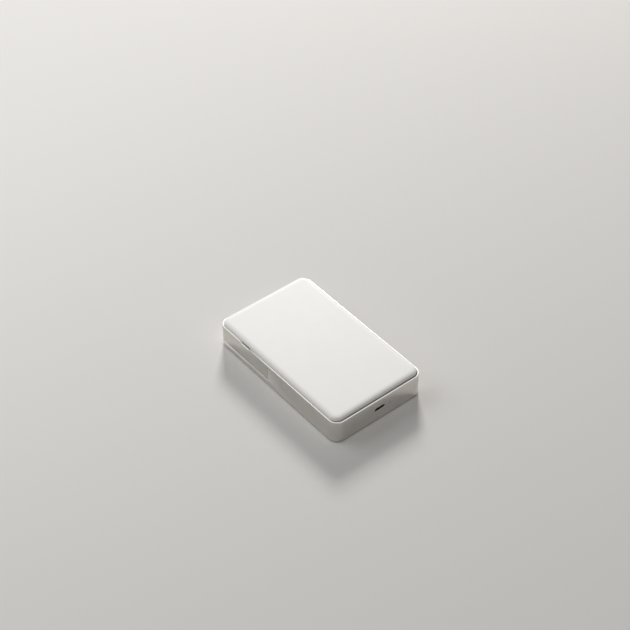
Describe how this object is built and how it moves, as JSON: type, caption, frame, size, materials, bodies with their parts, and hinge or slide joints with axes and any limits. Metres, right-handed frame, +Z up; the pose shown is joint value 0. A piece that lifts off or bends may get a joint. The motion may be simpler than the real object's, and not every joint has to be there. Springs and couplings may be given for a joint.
{
  "type": "compact photo printer",
  "caption": "Pocket zero-ink photo printer: silver case, matt white hinged lid over the paper tray, thermal head, platen and pickup rollers, gear train, battery and USB-C port.",
  "frame": {"origin": "centre of the footprint, on the surface that the feet stand on", "axes": "+Y along the length towards the paper exit, -Y at the charging port and the lid hinge, +Z up, +X towards the power button"},
  "size_m": [0.075, 0.124, 0.0205],
  "materials": {
    "silver_band": "satin electroplated silver on moulded plastic",
    "white_lid": "fine matt white moulding",
    "inner_grey": "fine spark-eroded grey moulding",
    "base_grey": "matt pale grey moulding",
    "black_plastic": "black moulding",
    "rubber": "soft dark rubber",
    "steel": "plated steel",
    "gear_plastic": "natural acetal",
    "brass_pinion": "machined brass",
    "heat_sink": "extruded aluminium",
    "ceramic": "fired ceramic strip",
    "circuit_board": "green solder mask",
    "light_plastic": "clear moulded plastic",
    "battery_wrap": "wrapped lithium polymer pouch",
    "cable": "insulated wire and flat film cable"
  },
  "bodies": {
    "case": {"main_band": "silver_band", "rear_cap": "silver_band", "bottom_cover": "base_grey", "rubber_feet": "rubber", "case_screws": "steel", "paper_tray": "inner_grey", "mechanism_cover": "inner_grey", "catch_plates": "steel", "hinge_brackets": "steel", "hinge_pins": "steel", "mech_frame": "steel", "roller_bushes": "gear_plastic", "idler_posts": "steel", "reduction_post": "steel", "drive_motor": "steel", "bridge_plate": "steel", "head_pivot_pin": "steel", "paper_guide": "black_plastic", "flag_pin": "steel", "sensor_board": "black_plastic", "main_board": "circuit_board", "board_chips": "black_plastic", "wireless_module": "steel", "power_switch": "black_plastic", "status_light": "light_plastic", "indicator_lens": "light_plastic", "usb_shell": "steel", "usb_tongue": "black_plastic", "battery_pack": "battery_wrap", "battery_plug": "black_plastic", "battery_lead": "cable", "head_flex_cable": "cable", "inner_screws": "steel", "head_springs": "steel"},
    "lid": {"lid_shell": "white_lid", "lid_liner": "inner_grey", "lid_hinge_arms": "steel", "lid_screws": "steel", "lid_magnets": "steel", "pressure_springs": "steel"},
    "pressure_plate": {"pressure_plate": "inner_grey"},
    "power_button": {"power_button": "silver_band"},
    "thermal_head": {"head_heatsink": "heat_sink", "head_strip": "ceramic"},
    "platen_roller": {"platen_shaft": "steel", "platen_sleeve": "rubber", "platen_gear_left": "gear_plastic", "platen_gear_right": "gear_plastic"},
    "reduction_gear": {"reduction_gear": "gear_plastic"},
    "motor_rotor": {"motor_shaft": "steel", "motor_pinion": "brass_pinion"},
    "idler_gear_1": {"idler_gear_1": "gear_plastic"},
    "idler_gear_2": {"idler_gear_2": "gear_plastic"},
    "idler_gear_3": {"idler_gear_3": "gear_plastic"},
    "pickup_roller": {"pickup_shaft": "steel", "pickup_tyres": "rubber", "pickup_gear": "gear_plastic"},
    "paper_flag": {"paper_flag": "black_plastic"}
  },
  "joints": [
    {"name": "lid_hinge", "type": "hinge", "parent": "case", "child": "lid", "pos_m": [0, -0.0582, 0.0182], "axis": [1, 0, 0], "range_deg": [0, 75]},
    {"name": "plate_slide", "type": "slide", "parent": "lid", "child": "pressure_plate", "axis": [0, 0, 1], "range_m": [0, 0.0022], "stiffness_N_per_m": 150, "springref_m": -0.003, "deforming": ["pressure_springs"]},
    {"name": "button_press", "type": "slide", "parent": "case", "child": "power_button", "axis": [-1, 0, 0], "range_m": [0, 0.0004], "stiffness_N_per_m": 1000, "springref_m": -0.0003},
    {"name": "head_tilt", "type": "hinge", "parent": "case", "child": "thermal_head", "pos_m": [0, 0.043, 0.01348], "axis": [1, 0, 0], "range_deg": [0, 2], "stiffness_Nm_per_rad": 0.5, "springref_deg": -2.86, "deforming": ["head_springs"]},
    {"name": "platen_turn", "type": "hinge", "parent": "case", "child": "platen_roller", "pos_m": [0, 0.05, 0.0084], "axis": [1, 0, 0], "continuous": true},
    {"name": "reduction_turn", "type": "hinge", "parent": "case", "child": "reduction_gear", "pos_m": [0, 0.04413, 0.0109], "axis": [1, 0, 0], "continuous": true},
    {"name": "motor_turn", "type": "hinge", "parent": "case", "child": "motor_rotor", "pos_m": [0, 0.0405, 0.0064], "axis": [1, 0, 0], "continuous": true},
    {"name": "idler_3_turn", "type": "hinge", "parent": "case", "child": "idler_gear_3", "pos_m": [0, 0.04182, 0.00824], "axis": [1, 0, 0], "continuous": true},
    {"name": "idler_2_turn", "type": "hinge", "parent": "case", "child": "idler_gear_2", "pos_m": [0, 0.03481, 0.01019], "axis": [1, 0, 0], "continuous": true},
    {"name": "idler_1_turn", "type": "hinge", "parent": "case", "child": "idler_gear_1", "pos_m": [0, 0.02788, 0.00796], "axis": [1, 0, 0], "continuous": true},
    {"name": "pickup_turn", "type": "hinge", "parent": "case", "child": "pickup_roller", "pos_m": [0, 0.02, 0.0078], "axis": [1, 0, 0], "continuous": true},
    {"name": "flag_tip", "type": "hinge", "parent": "case", "child": "paper_flag", "pos_m": [0, 0.031, 0.0086], "axis": [1, 0, 0], "range_deg": [-50, 0], "stiffness_Nm_per_rad": 0.00002, "springref_deg": 17.19}
  ],
  "couplings": [
    {"joint": "reduction_turn", "follows": "platen_turn", "ratio": -2.5},
    {"joint": "motor_turn", "follows": "platen_turn", "ratio": 5.4167},
    {"joint": "idler_3_turn", "follows": "platen_turn", "ratio": -1.25},
    {"joint": "idler_2_turn", "follows": "platen_turn", "ratio": 1.25},
    {"joint": "idler_1_turn", "follows": "platen_turn", "ratio": -1.25},
    {"joint": "pickup_turn", "follows": "platen_turn", "ratio": 1.0714}
  ]
}
